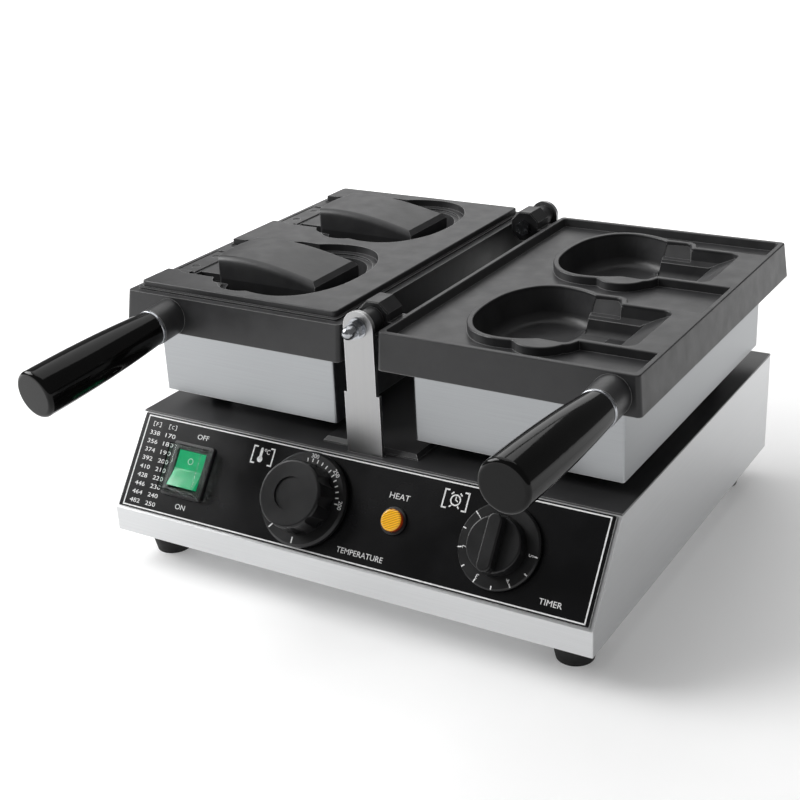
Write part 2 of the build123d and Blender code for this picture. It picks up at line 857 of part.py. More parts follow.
# Edges at the rim level, either those round the mouths of the cavities or all the others
def top_edges(solid, mouths):
    edges = [e for e in solid.edges() if e.bounding_box().min.Z > plate_top_z - 0.01]
    places = [Pos(0, y, plate_top_z) * waffle_face(lip_edge_radius / 2) for y in waffle_middles()]
    return [e for e in edges if mouths == (min(place.distance_to(e.center()) for place in places) < 0.01)]


def left_mould_plate():
    solid = slab(plate_top_z)
    middle_x = plate_gap + plate_width / 2
    middle_y = plate_front_y + plate_length / 2
    for inset, low, high in (
        (step_inset, plate_top_z, plate_top_z + step_height),
        (plateau_inset, plate_top_z + step_height, plateau_z),
    ):
        face = RectangleRounded(plate_width - 2 * inset, plate_length - 2 * inset, plate_corner_radius)
        solid += extrude(Pos(middle_x, middle_y, low) * face, amount=high - low)
    solid = fillet(solid.faces().sort_by(Axis.Z)[-1].edges(), plate_edge_radius)
    solid = underside(solid)
    half = jaw_half + lip_width + pocket_swell_clearance
    for y in waffle_middles():
        pocket = Pos(0, y, ledge_z) * lip_face(pocket_margin, pocket_swell_clearance)
        solid -= extrude(pocket, amount=plateau_height)
        solid -= block(jaw_near_x, 2 * plate_outer_x, y - half, y + half, ledge_z, plateau_z + 1)
        inner = Pos(0, y, inner_ledge_z) * waffle_face(inner_ledge_width)
        solid -= extrude(inner, amount=plateau_z - inner_ledge_z)
        bowl = Pos(0, y, inner_ledge_z) * waffle_face()
        solid -= extrude(bowl, amount=-bowl_depth, taper=cavity_draft_angle)
        x0 = pad_near_x - pad_fit
        x1 = pad_far_x + pad_fit
        slot_half = pad_half + pad_fit
        solid -= block(x0, x1, y - slot_half, y + slot_half, pad_top_z - pad_thickness, plateau_z)
        neck_z = inner_ledge_z - neck_rise
        slot_half = neck_half + pad_fit
        solid -= block(channel_end_x, x0 + 1, y - slot_half, y + slot_half, neck_z - pad_fit, plateau_z)
        for shift in (-core_screw_spacing / 2, core_screw_spacing / 2):
            start = (core_screw_x(), y + shift, pad_top_z - pad_thickness - core_screw_reach)
            solid -= rod(screw_hole_radius, start, (0, 0, 1), core_screw_reach + 1)
    solid = mirror(solid, Plane.YZ)
    return add_boss(solid, -1)


def core_screw_x():
    return (pad_near_x + pad_far_x) / 2


# One core: a humped top, flanks that lean in and a bulged end
def core_body():
    low_z = plate_top_z - core_drop
    tip_z = plate_top_z + core_tip_rise
    end_z = plate_top_z + core_end_rise
    far_x = core_end_x + core_end_bulge
    slope = (core_slope_x, plate_top_z + core_slope_rise)
    crown = (core_crown_x, plate_top_z + core_crown_rise)
    hump = Spline((core_tip_x, tip_z), slope, crown, (far_x, end_z))
    rest = Polyline((far_x, end_z), (far_x, low_z), (core_tip_x, low_z), (core_tip_x, tip_z))
    body = extrude(Plane.XZ * make_face(Curve() + [hump, rest]), amount=core_half, both=True)
    rise = core_crown_rise + core_edge_radius
    narrow = core_half - core_flank_lean
    upper = across(core_tip_x, far_x, narrow, core_half, plate_top_z + rise, plate_top_z)
    lower = across(core_tip_x, far_x, core_half, narrow, plate_top_z, low_z)
    body &= upper + lower
    long_edges = [e for e in body.edges() if e.center().Z > tip_z and e.length > core_half * 2]
    body = fillet(long_edges, core_edge_radius)
    end = ThreePointArc((core_end_x, -core_half), (far_x, 0), (core_end_x, core_half))
    near_x = core_tip_x - 1
    corners = [(core_end_x, core_half), (near_x, core_half), (near_x, -core_half), (core_end_x, -core_half)]
    sides = Polyline(*corners)
    plan = make_face(Curve() + [end, sides])
    plan = fillet([v for v in plan.vertices() if v.X > core_tip_x], core_corner_radius)
    body &= extrude(Pos(0, 0, low_z) * plan, amount=core_drop + 2 * rise)
    bevel_z = tip_z - core_bevel
    above = 2 * rise
    bevel = Polyline(
        (near_x, bevel_z),
        (core_tip_x, bevel_z),
        (core_tip_x + above, bevel_z + above),
        (near_x, bevel_z + above),
        close=True,
    )
    return body - extrude(Plane.XZ * make_face(bevel), amount=core_half, both=True)


def filling_cores():
    shape = core_body()
    cores = []
    top_z = pad_top_z
    seat_z = top_z - small_head_height - core_screw_seat
    neck_z = inner_ledge_z - neck_rise
    root_x = core_end_x - core_end_bulge
    for y in waffle_middles():
        core = Pos(0, y, 0) * shape
        core += block(root_x, pad_near_x + 1, y - neck_half, y + neck_half, neck_z, inner_ledge_z)
        pad = block(pad_near_x, pad_far_x, y - pad_half, y + pad_half, top_z - pad_thickness, top_z)
        core += fillet(pad.edges().group_by(Axis.Z)[-1], pad_edge_radius)
        for shift in (-core_screw_spacing / 2, core_screw_spacing / 2):
            start = (core_screw_x(), y + shift, top_z - pad_thickness)
            core -= rod(screw_hole_radius, start, (0, 0, 1), pad_thickness)
            seat = (core_screw_x(), y + shift, seat_z)
            core -= rod(small_head_radius + core_screw_seat, seat, (0, 0, 1), pad_thickness)
        cores.append(mirror(core, Plane.YZ))
    return group(cores)


def core_screws():
    screws = []
    seat_z = pad_top_z - small_head_height - core_screw_seat
    low_z = pad_top_z - pad_thickness - core_screw_reach
    for y in waffle_middles():
        for shift in (-core_screw_spacing / 2, core_screw_spacing / 2):
            head = rod(small_head_radius, (-core_screw_x(), y + shift, seat_z), (0, 0, 1), small_head_height)
            shank = rod(small_screw_radius, (-core_screw_x(), y + shift, low_z), (0, 0, 1), seat_z - low_z)
            screws.append(head + shank)
    return group(screws)


def box_limits():
    x0 = plate_gap + box_inset_hinge
    x1 = plate_outer_x - box_inset_outer
    y0 = plate_front_y + box_inset_front
    y1 = plate_back_y - box_inset_back
    return x0, x1, y0, y1


def box_screw_places():
    x0, x1, y0, y1 = box_limits()
    inset = box_sheet + box_flange / 2
    ys = (y0 + box_screw_inset, y1 - box_screw_inset)
    return [(x, y) for x in (x0 + inset, x1 - inset) for y in ys]


def heater_box(side):
    x0, x1, y0, y1 = box_limits()
    outer = block(x0, x1, y0, y1, box_bottom_z, plate_bottom_z)
    outer = fillet(outer.edges().filter_by(Axis.Z), box_corner_radius)
    w = box_sheet
    inner = block(x0 + w, x1 - w, y0 + w, y1 - w, box_bottom_z + w, plate_bottom_z - w)
    f = box_flange + w
    mouth = block(x0 + f, x1 - f, y0 + f, y1 - f, plate_bottom_z - 2 * w, plate_bottom_z + 1)
    solid = outer - inner - mouth
    for x, y in box_screw_places():
        solid -= rod(screw_hole_radius, (x, y, plate_bottom_z - 2 * w), (0, 0, 1), 3 * w)
    middle_y = (y0 + y1) / 2
    solid -= rod(gland_radius, (x0 - w, middle_y, box_bottom_z + box_wire_rise), (1, 0, 0), 3 * w)
    return solid if side > 0 else mirror(solid, Plane.YZ)


def box_screws(side):
    screws = []
    for x, y in box_screw_places():
        low = plate_bottom_z - box_sheet
        head = rod(small_head_radius, (side * x, y, low - small_head_height), (0, 0, 1), small_head_height)
        screws.append(head + rod(small_screw_radius, (side * x, y, low), (0, 0, 1), box_sheet))
    return group(screws)


def element_z():
    return cavity_bottom_z - cavity_wall - element_radius


def heating_element(side):
    x0, x1, y0, y1 = box_limits()
    near = x0 + element_inset_x
    far = x1 - element_inset_x
    front = y0 + element_inset_y
    back = y1 - element_inset_y
    middle = (y0 + y1) / 2
    gap = element_leg_gap / 2
    leg = near - element_leg_reach
    turn = near + element_leg_inset
    points = [
        (leg, middle - gap),
        (turn, middle - gap),
        (turn, front),
        (far, front),
        (far, back),
        (turn, back),
        (turn, middle + gap),
        (leg, middle + gap),
    ]
    points = [(side * x, y, element_z()) for x, y in points]
    path = FilletPolyline(*points, radius=element_bend_radius)
    profile = Plane(origin=path @ 0, z_dir=path % 0) * Circle(element_radius)
    return sweep(profile, path=path)


def element_clamp(side):
    x0, x1, y0, y1 = box_limits()
    middle_y = (waffle_middles()[0] + waffle_middles()[1]) / 2
    half = clamp_width / 2
    top = element_z() - element_radius
    low = top - clamp_thickness
    bar = block(x0 + clamp_end_gap, x1 - clamp_end_gap, middle_y - half, middle_y + half, low, top)
    beside = element_radius + clamp_post_gap + clamp_post_radius
    turn = x0 + element_inset_x + element_leg_inset
    for x in (turn + beside, x1 - element_inset_x - beside):
        bar += rod(clamp_post_radius, (x, middle_y, top), (0, 0, 1), plate_bottom_z + underside_recess - top)
    return bar if side > 0 else mirror(bar, Plane.YZ)


def handle_stud(side):
    return boss_frame(side) * (Pos(0, 0, -stud_in_boss) * extrude(Circle(stud_radius), amount=stud_length))


def handle_ferrule(side):
    ring = Circle(ferrule_radius) - Circle(stud_hole_radius)
    ring = extrude(ring, amount=ferrule_length)
    ring = fillet(ring.edges().group_by(SortBy.LENGTH)[-1], ferrule_edge_radius)
    return boss_frame(side) * ring


def handle_grip(side):
    end = grip_length
    side_curve = Spline(
        (grip_root_radius, 0),
        (grip_mid_radius, grip_mid_at),
        (grip_end_radius, end),
        tangents=[(0.1, 1), (0, 1)],
    )
    inside = stud_hole_radius
    outline = Polyline((grip_end_radius, end), (inside, end), (inside, 0), (grip_root_radius, 0))
    grip = revolve(Plane.XZ * make_face(Curve() + [side_curve, outline]), Axis.Z)
    crown = extrude(Circle(grip_end_radius), amount=grip_end_cap)
    crown = fillet(crown.edges().group_by(Axis.Z)[-1], grip_end_round)
    grip += Pos(0, 0, end) * crown
    return boss_frame(side) * (Pos(0, 0, ferrule_length) * grip)


def switch_housing():
    base = on_panel(switch_x, out=panel_sheet)
    bezel = extrude(RectangleRounded(switch_width, switch_height, switch_corner_radius), amount=switch_bezel)
    bezel = fillet(bezel.faces().sort_by(Axis.Z)[-1].outer_wire().edges(), switch_edge_radius)
    depth = switch_body_depth
    body = Pos(0, 0, -depth) * extrude(Rectangle(switch_body_width, switch_body_height), amount=depth)
    solid = bezel + body
    well_width = rocker_width + 2 * rocker_side_gap
    well_height = 2 * (rocker_half_length + rocker_end_gap)
    low = switch_bezel - switch_well_depth
    solid -= Pos(0, 0, low) * extrude(Rectangle(well_width, well_height), amount=switch_well_depth + 1)
    reach = rocker_width / 2 + rocker_pin_reach + rocker_pin_room
    pin_height = switch_bezel - rocker_pivot_depth
    solid -= rod(rocker_pin_radius + bolt_clearance, (-reach, 0, pin_height), (1, 0, 0), 2 * reach)
    length = switch_blade_length
    for i in range(switch_blade_count):
        x = (i - (switch_blade_count - 1) / 2) * switch_blade_pitch
        solid += Pos(x, 0, -depth - length / 2) * Box(switch_blade_thickness, switch_blade_pitch, length)
    return base * solid


def switch_rocker():
    half = rocker_half_length
    points = [
        (-half, rocker_end_rise),
        (0, rocker_middle_rise),
        (half, rocker_end_rise),
        (half - rocker_foot_taper, -rocker_depth),
        (-half + rocker_foot_taper, -rocker_depth),
    ]
    face = Plane.YZ * make_face(Polyline(*points, close=True))
    body = extrude(face, amount=rocker_width / 2, both=True)
    reach = rocker_width / 2 + rocker_pin_reach
    body += rod(rocker_pin_radius, (-reach, 0, 0), (1, 0, 0), 2 * reach)
    pivot = Pos(0, 0, switch_bezel - rocker_pivot_depth) * Rot(-rocker_tilt_angle, 0, 0)
    return on_panel(switch_x, out=panel_sheet) * (pivot * body)


def switch_cover():
    width = switch_width - 2 * cover_margin
    height = switch_height - 2 * cover_margin
    radius = cover_corner_radius
    draft = cover_draft_angle
    outer = extrude(RectangleRounded(width, height, radius), amount=cover_height, taper=draft)
    hollow = RectangleRounded(width - 2 * cover_wall, height - 2 * cover_wall, radius - cover_wall / 2)
    inner = extrude(hollow, amount=cover_height - cover_wall, taper=draft)
    return on_panel(switch_x, out=panel_sheet + switch_bezel) * (outer - inner)


def temperature_knob():
    skirt = extrude(Circle(temperature_skirt_radius), amount=temperature_skirt_height)
    skirt = chamfer(skirt.edges().group_by(Axis.Z)[-1], temperature_skirt_bevel)
    low = temperature_skirt_height
    height = temperature_grip_height
    grip = extrude(Circle(temperature_grip_radius), amount=height, taper=temperature_grip_draft_angle)
    grip = Pos(0, 0, low) * grip
    grip = fillet(grip.edges().group_by(Axis.Z)[-1], temperature_grip_round)
    reach = temperature_grip_radius + temperature_flute_radius - temperature_flute_bite
    for i in range(temperature_flute_count):
        angle = 360 / temperature_flute_count * i
        cutter = extrude(Circle(temperature_flute_radius), amount=2 * height)
        grip -= Rot(0, 0, angle) * (Pos(reach, 0, low + temperature_flute_base) * cutter)
    cap_z = low + height - temperature_cap_sink
    grip -= Pos(0, 0, cap_z) * extrude(Circle(temperature_cap_radius), amount=height)
    knob = skirt + grip
    knob -= extrude(Circle(shaft_radius + knob_bore_clearance), amount=shaft_in_knob)
    knob -= extrude(Circle(bush_radius + bush_clearance), amount=bush_reach - knob_gap + bush_thread_gap)
    return on_panel(temperature_x, out=panel_sheet + knob_gap) * knob


def timer_knob():
    skirt = extrude(Circle(timer_skirt_radius), amount=timer_skirt_height)
    skirt = chamfer(skirt.edges().group_by(Axis.Z)[-1], timer_skirt_bevel)
    bar = SlotOverall(timer_bar_length, timer_bar_width, rotation=90)
    bar = Pos(0, 0, timer_skirt_height) * extrude(bar, amount=timer_bar_height, taper=timer_bar_draft_angle)
    bar = fillet(bar.faces().sort_by(Axis.Z)[-1].edges(), timer_bar_round)
    hub = extrude(Circle(timer_hub_radius), amount=timer_hub_height, taper=timer_bar_draft_angle)
    hub = fillet(hub.edges().group_by(Axis.Z)[-1], timer_bar_round)
    knob = skirt + Pos(0, 0, timer_skirt_height) * hub + bar
    knob -= extrude(Circle(shaft_radius + knob_bore_clearance), amount=shaft_in_knob)
    knob -= extrude(Circle(bush_radius + bush_clearance), amount=bush_reach - knob_gap + bush_thread_gap)
    return on_panel(timer_x, out=panel_sheet + knob_gap) * knob


def control_shaft(x):
    low = -sheet - shaft_in_body
    high = panel_sheet + knob_gap + shaft_in_knob
    return on_panel(x, out=low) * extrude(Circle(shaft_radius), amount=high - low)


def control_body(x):
    case = extrude(Rectangle(control_body_width, control_body_height), amount=control_body_depth)
    neck = extrude(Circle(bush_radius), amount=sheet + bush_reach - bush_thread_gap)
    bore = extrude(Circle(shaft_radius + body_bore_clearance), amount=2 * control_body_depth)
    body = Pos(0, 0, -sheet - control_body_depth) * case + Pos(0, 0, -sheet) * neck
    return on_panel(x) * (body - Pos(0, 0, -sheet - shaft_in_body) * bore)


def pilot_lamp_body():
    out = panel_sheet
    bezel = Pos(0, 0, out) * extrude(Circle(lamp_bezel_radius), amount=lamp_bezel_height)
    bezel = fillet(bezel.edges().group_by(Axis.Z)[-1], lamp_edge_radius)
    tube = Pos(0, 0, out - lamp_body_depth) * extrude(Circle(lamp_body_radius), amount=lamp_body_depth)
    seat = Pos(0, 0, out + lamp_seat) * extrude(Circle(lamp_lens_radius), amount=lamp_bezel_height + 1)
    return on_panel(lamp_x) * (bezel + tube - seat)


def pilot_lamp_lens():
    lens = extrude(Circle(lamp_lens_radius), amount=lamp_lens_height)
    lens = fillet(lens.edges().group_by(Axis.Z)[-1], lamp_lens_round)
    return on_panel(lamp_x, out=panel_sheet + lamp_seat) * lens


def cable_gland():
    z = base_bottom_z + gland_rise
    inside = base_depth - 2 * sheet - gland_inside
    length = base_depth + gland_reach - inside
    body = rod(gland_radius, (gland_x, inside, z), (0, 1, 0), length)
    body += hexagon(gland_nut_radius, (gland_x, base_depth, z), (0, 1, 0), gland_nut_depth)
    body += hexagon(gland_nut_radius, (gland_x, base_depth - sheet, z), (0, -1, 0), gland_lock_nut)
    return body - rod(gland_bore_radius, (gland_x, inside - 1, z), (0, 1, 0), length + 2)


def terminal_block():
    y1 = base_depth - terminal_back_gap
    half = terminal_length / 2
    low = base_bottom_z + sheet
    solid = block(terminal_x - half, terminal_x + half, y1 - terminal_width, y1, low, low + terminal_height)
    top = low + terminal_height
    pitch = terminal_length / terminal_count
    for i in range(terminal_count):
        x = terminal_x + (i - (terminal_count - 1) / 2) * pitch
        start = (x, y1 - terminal_width / 2, top - terminal_hole_depth)
        solid -= rod(terminal_hole_radius, start, (0, 0, 1), terminal_hole_depth + 1)
    return solid


nodes = {
    "base_shell": base_shell(),
    "bottom_plate": bottom_plate(),
    "bottom_plate_screws": cover_screws(),
    "deck_plate": deck_plate(),
    "centre_channel": centre_channel(),
    "control_panel": control_panel(),
    "rubber_feet": rubber_feet(),
    "foot_screws": foot_screws(),
    "front_hinge_strap": strap(True),
    "rear_hinge_strap": strap(False),
    "strap_screws": strap_screws(),
    "hinge_bolts": hinge_bolts(),
    "hinge_nuts": hinge_nuts(),
    "acorn_nuts": acorn_nuts(),
    "hinge_washers": hinge_washers(),
    "rest_bumpers": rest_bumpers(),
    "switch_housing": switch_housing(),
    "switch_cover": switch_cover(),
    "switch_rocker": switch_rocker(),
    "temperature_knob": temperature_knob(),
    "thermostat_shaft": control_shaft(temperature_x),
    "thermostat_body": control_body(temperature_x),
    "timer_knob": timer_knob(),
    "timer_shaft": control_shaft(timer_x),
    "timer_body": control_body(timer_x),
    "pilot_lamp_body": pilot_lamp_body(),
    "pilot_lamp_lens": pilot_lamp_lens(),
    "cable_gland": cable_gland(),
    "terminal_block": terminal_block(),
    "left_mould_plate": left_mould_plate(),
    "left_filling_cores": filling_cores(),
    "left_core_screws": core_screws(),
    "left_hinge_lugs": left_hinge_lugs(),
    "right_mould_plate": right_mould_plate(),
    "right_hinge_lugs": right_hinge_lugs(),
}
for name, side in (("left", -1), ("right", 1)):
    nodes[name + "_heater_box"] = heater_box(side)
    nodes[name + "_box_screws"] = box_screws(side)
    nodes[name + "_heating_element"] = heating_element(side)
    nodes[name + "_element_clamp"] = element_clamp(side)
    nodes[name + "_handle_stud"] = handle_stud(side)
    nodes[name + "_handle_ferrule"] = handle_ferrule(side)
    nodes[name + "_handle_grip"] = handle_grip(side)

# The origin goes under the middle of the whole length, handle ends to rear nut
front_end = min(shape.bounding_box().min.Y for shape in nodes.values())
rear_end = max(shape.bounding_box().max.Y for shape in nodes.values())
middle_y = (front_end + rear_end) / 2
print("front face of the base at y", round(-middle_y, 4))

os.makedirs("parts", exist_ok=True)
for name, shape in nodes.items():
    placed = [Pos(0, -middle_y, 0) * solid for solid in shape.solids()]
    export_step(placed[0] if len(placed) == 1 else Compound(children=placed), "parts/" + name + ".step")
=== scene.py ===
import math
import bpy
from mathutils import Matrix, Vector


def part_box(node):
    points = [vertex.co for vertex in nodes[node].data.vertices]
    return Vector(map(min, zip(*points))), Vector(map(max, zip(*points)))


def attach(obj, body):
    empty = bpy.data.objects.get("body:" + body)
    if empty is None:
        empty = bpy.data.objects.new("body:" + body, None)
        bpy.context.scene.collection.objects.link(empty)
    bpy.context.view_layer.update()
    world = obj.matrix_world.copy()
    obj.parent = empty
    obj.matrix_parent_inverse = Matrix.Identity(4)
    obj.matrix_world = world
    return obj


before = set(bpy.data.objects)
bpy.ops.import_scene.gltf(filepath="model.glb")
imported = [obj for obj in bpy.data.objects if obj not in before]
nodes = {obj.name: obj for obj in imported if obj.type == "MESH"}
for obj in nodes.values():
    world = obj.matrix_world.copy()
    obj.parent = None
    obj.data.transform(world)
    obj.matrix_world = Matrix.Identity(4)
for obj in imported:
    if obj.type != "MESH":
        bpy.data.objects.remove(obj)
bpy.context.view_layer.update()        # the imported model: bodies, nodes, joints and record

mm = 0.001


# Small helpers

def deselectAll():
    bpy.ops.object.select_all(action="DESELECT")


def pick(*objects):
    deselectAll()
    for item in objects:
        item.select_set(True)
    bpy.context.view_layer.objects.active = objects[0]


def middleAcross(name):
    low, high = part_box(name)
    return (low.x + high.x) / 2


def linearColour(text):
    # an sRGB hex value such as #1C1C1E, as linear RGBA
    parts = [int(text[i:i + 2], 16) / 255 for i in (1, 3, 5)]
    return tuple(p / 12.92 if p <= 0.04045 else ((p + 0.055) / 1.055) ** 2.4 for p in parts) + (1.0,)


def addNode(tree, kind, settings=None, links=None, output=0):
    # adds a shader node with its settings and links, and gives one of its outputs. A ramp's stops
    # are pairs of a place and an sRGB value, and a range is from low, from high, to low, to high.
    node = tree.nodes.new("ShaderNode" + kind)
    for name, value in (settings or {}).items():
        if name == "stops":
            for stop, (place, colour) in zip(node.color_ramp.elements, value):
                stop.position = place
                stop.color = linearColour(colour)
        elif name == "range":
            for end, number in zip(("From Min", "From Max", "To Min", "To Max"), value):
                node.inputs[end].default_value = number
        elif isinstance(name, int) or name in node.inputs:
            node.inputs[name].default_value = value
        else:
            setattr(node, name, value)
    for name, source in (links or {}).items():
        tree.links.new(source, node.inputs[name])
    return node.outputs[output]


def newMaterial(name):
    material = bpy.data.materials.new(name)
    material.use_nodes = True
    tree = material.node_tree
    tree.nodes.clear()
    coords = addNode(tree, "TexCoord", output="Object")
    return material, tree, coords


def surfaced(material, settings, links):
    # gives a material its surface, once the patterns that drive it are there
    tree = material.node_tree
    surface = addNode(tree, "BsdfPrincipled", settings, links)
    end = tree.nodes.new("ShaderNodeOutputMaterial")
    tree.links.new(surface, end.inputs["Surface"])
    return material


def rubbedEdges(tree, colour, radius, highlightTone):
    # the colour, lightened to a pale tone on edges and corners: a painted highlight along every edge
    rounded = addNode(tree, "Bevel", {"samples": 6, "Radius": radius})
    real = addNode(tree, "NewGeometry", output="Normal")
    alike = addNode(tree, "VectorMath", {"operation": "DOT_PRODUCT"}, {0: rounded, 1: real}, "Value")
    edge = addNode(tree, "MapRange", {"range": (0.97, 0.80, 0.0, 1.0)}, {"Value": alike})
    return addNode(tree, "Mix", {"data_type": "RGBA", 7: linearColour(highlightTone)}, {0: edge, 6: colour}, 2)


# Camera: where the photograph was taken from, with a 36 mm sensor and the frame 800 by 800

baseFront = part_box("base_shell")[0].y
camera = {
    "fromBaseFront": (0.46263, -0.65180, 0.49417),
    "yaw": 31.88,
    "pitchDown": 23.32,
    "roll": -2.82,
    "lens": 64.57,
    "sensor": 36,
    "clip": (0.01, 20),
}
yaw, pitch, roll = (math.radians(camera[k]) for k in ("yaw", "pitchDown", "roll"))
forward = Vector((-math.sin(yaw) * math.cos(pitch), math.cos(yaw) * math.cos(pitch), -math.sin(pitch)))
level = Vector((math.cos(yaw), math.sin(yaw), 0))
upright = level.cross(forward)
right = math.cos(roll) * level + math.sin(roll) * upright
up = -math.sin(roll) * level + math.cos(roll) * upright
lensData = bpy.data.cameras.new("camera")
lensData.lens = camera["lens"]
lensData.sensor_width = camera["sensor"]
lensData.clip_start, lensData.clip_end = camera["clip"]
cameraObject = bpy.data.objects.new("camera", lensData)
bpy.context.scene.collection.objects.link(cameraObject)
turn = Matrix((right, up, -forward)).transposed()
cameraPlace = Vector(camera["fromBaseFront"]) + Vector((0, baseFront, 0))
cameraObject.matrix_world = Matrix.Translation(cameraPlace) @ turn.to_4x4()
bpy.context.scene.camera = cameraObject
print("camera set")


# Sloped panel: its own axes run across, up the slope and out of it, from the foot of the slope

panel = {
    "slopeRun": 42.0,
    "slopeRise": 57.0,
    "apronTop": 39.5,
    "sheet": 0.8,              # thickness of the printed sheet
    "inkLift": 0.02,
    "inkThickness": 0.06,
    "controlsUp": 35.4,        # middle of the switch and of both dials, up the slope
}
slopeAngle = math.atan2(panel["slopeRise"], panel["slopeRun"])
panelOut = (0, -math.sin(slopeAngle), math.cos(slopeAngle))
panelFoot = Matrix.Translation((0, baseFront, panel["apronTop"] * mm))
panelFrame = panelFoot @ Matrix.Rotation(slopeAngle, 4, "X")


# Materials

def brushedStainless(name, along="level", tone=("#CACBCC", "#D0D1D2"), rough=(0.30, 0.38), groove=0.4):
    # stainless sheet, cold rolled and brushed: soft broad reflections with faint straight lines.
    # Real lines are about 0.1 mm apart, too fine to show, so they are drawn 0.7 mm apart. Cut and
    # folded edges get a painted highlight, a paler tone along them.
    material, tree, coords = newMaterial(name)
    lines = {"level": (14, 14, 1400), "upright": (1400, 1400, 14)}[along]
    drawn = addNode(tree, "Mapping", {"Scale": lines}, {"Vector": coords})
    brush = addNode(tree, "TexNoise", {"Scale": 1.0, "Detail": 3.0, "Roughness": 0.6}, {"Vector": drawn})
    cloud = addNode(tree, "TexNoise", {"Scale": 9.0, "Detail": 2.0}, {"Vector": coords})
    colour = addNode(tree, "ValToRGB", {"stops": [(0.3, tone[0]), (0.7, tone[1])]}, {"Fac": brush})
    both = addNode(tree, "Math", {"operation": "ADD"}, {0: brush, 1: cloud})
    return surfaced(material, {"Metallic": 1.0}, {
        "Base Color": rubbedEdges(tree, colour, 0.7 * mm, "#F0F0F0"),
        "Roughness": addNode(tree, "MapRange", {"range": (0.7, 1.3, *rough)}, {"Value": both}),
        "Normal": addNode(tree, "Bump", {"Distance": 0.004 * mm, "Strength": groove}, {"Height": brush}),
    })


def brightZinc():
    # zinc-plated steel fasteners: clear bright reflections, slightly blue, with dull patches 3 mm across
    material, tree, coords = newMaterial("zincPlatedSteel")
    patches = addNode(tree, "TexNoise", {"Scale": 350.0, "Detail": 3.0}, {"Vector": coords})
    return surfaced(material, {"Metallic": 1.0}, {
        "Base Color": addNode(tree, "ValToRGB", {"stops": [(0.35, "#96989C"), (0.7, "#B4B6BA")]},
                              {"Fac": patches}),
        "Roughness": addNode(tree, "MapRange", {"range": (0.3, 0.7, 0.14, 0.3)}, {"Value": patches}),
        "Normal": addNode(tree, "Bump", {"Distance": 0.02 * mm, "Strength": 0.3}, {"Height": patches}),
    })


def nonStickCasting(name="nonStickCastAluminium", tone=("#2B2B2C", "#323233"), rough=(0.34, 0.44)):
    # aluminium casting under sprayed non-stick coating: charcoal, satin, with a fine sprayed grain
    # (0.8 mm) over the slow unevenness that the sand casting leaves (12 mm), and a painted highlight on the
    # edges
    material, tree, coords = newMaterial(name)
    grain = addNode(tree, "TexNoise", {"Scale": 1200.0, "Detail": 2.0, "Roughness": 0.6}, {"Vector": coords})
    slow = addNode(tree, "TexNoise", {"Scale": 80.0, "Detail": 3.0}, {"Vector": coords})
    colour = addNode(tree, "ValToRGB", {"stops": [(0.3, tone[0]), (0.7, tone[1])]}, {"Fac": slow})
    cast = addNode(tree, "Bump", {"Distance": 0.4 * mm, "Strength": 0.3}, {"Height": slow})
    return surfaced(material, {"Specular IOR Level": 0.36}, {
        "Base Color": rubbedEdges(tree, colour, 0.9 * mm, "#8E8E8E"),
        "Roughness": addNode(tree, "MapRange", {"range": (0.3, 0.7, *rough)}, {"Value": slow}),
        "Normal": addNode(tree, "Bump", {"Distance": 0.04 * mm, "Strength": 0.35},
                          {"Height": grain, "Normal": cast}),
    })


def satinBlackDeck():
    # steel sheet with a baked black coat: satin, a faint orange peel about 2 mm across, and a painted
    # highlight, a pale line along its bends and edges
    material, tree, coords = newMaterial("bakedBlackCoat")
    peel = addNode(tree, "TexNoise", {"Scale": 500.0, "Detail": 2.0}, {"Vector": coords})
    slow = addNode(tree, "TexNoise", {"Scale": 30.0, "Detail": 3.0}, {"Vector": coords})
    colour = addNode(tree, "ValToRGB", {"stops": [(0.3, "#383839"), (0.7, "#404041")]}, {"Fac": slow})
    return surfaced(material, {"Specular IOR Level": 0.32}, {
        "Base Color": rubbedEdges(tree, colour, 0.9 * mm, "#C0C0C0"),
        "Roughness": addNode(tree, "MapRange", {"range": (0.3, 0.7, 0.3, 0.4)}, {"Value": slow}),
        "Normal": addNode(tree, "Bump", {"Distance": 0.03 * mm, "Strength": 0.25}, {"Height": peel}),
    })


def glossPanel():
    # screen-printed panel: gloss black lacquer on sheet, with barely seen ripple and wiping marks,
    # and a painted highlight showing as a thin pale line round its cut edge
    material, tree, coords = newMaterial("glossBlackLacquer")
    ripple = addNode(tree, "TexNoise", {"Scale": 220.0, "Detail": 2.0}, {"Vector": coords})
    wiped = addNode(tree, "TexNoise", {"Scale": 25.0, "Detail": 4.0}, {"Vector": coords})
    colour = addNode(tree, "ValToRGB", {"stops": [(0.3, "#060607"), (0.7, "#0A0A0C")]}, {"Fac": wiped})
    return surfaced(material, {"Specular IOR Level": 0.24}, {
        "Base Color": rubbedEdges(tree, colour, 1.2 * mm, "#C4C4C4"),
        "Roughness": addNode(tree, "MapRange", {"range": (0.3, 0.7, 0.2, 0.3)}, {"Value": wiped}),
        "Normal": addNode(tree, "Bump", {"Distance": 0.02 * mm, "Strength": 0.15}, {"Height": ripple}),
    })


def whiteInk():
    # screen-print ink: flat white, a little thin and uneven where the mesh left it
    material, tree, coords = newMaterial("whiteScreenInk")
    thin = addNode(tree, "TexNoise", {"Scale": 900.0, "Detail": 2.0}, {"Vector": coords})
    colour = addNode(tree, "ValToRGB", {"stops": [(0.25, "#C9C9C9"), (0.6, "#F2F2F2")]}, {"Fac": thin})
    return surfaced(material, {"Roughness": 0.55}, {"Base Color": colour})


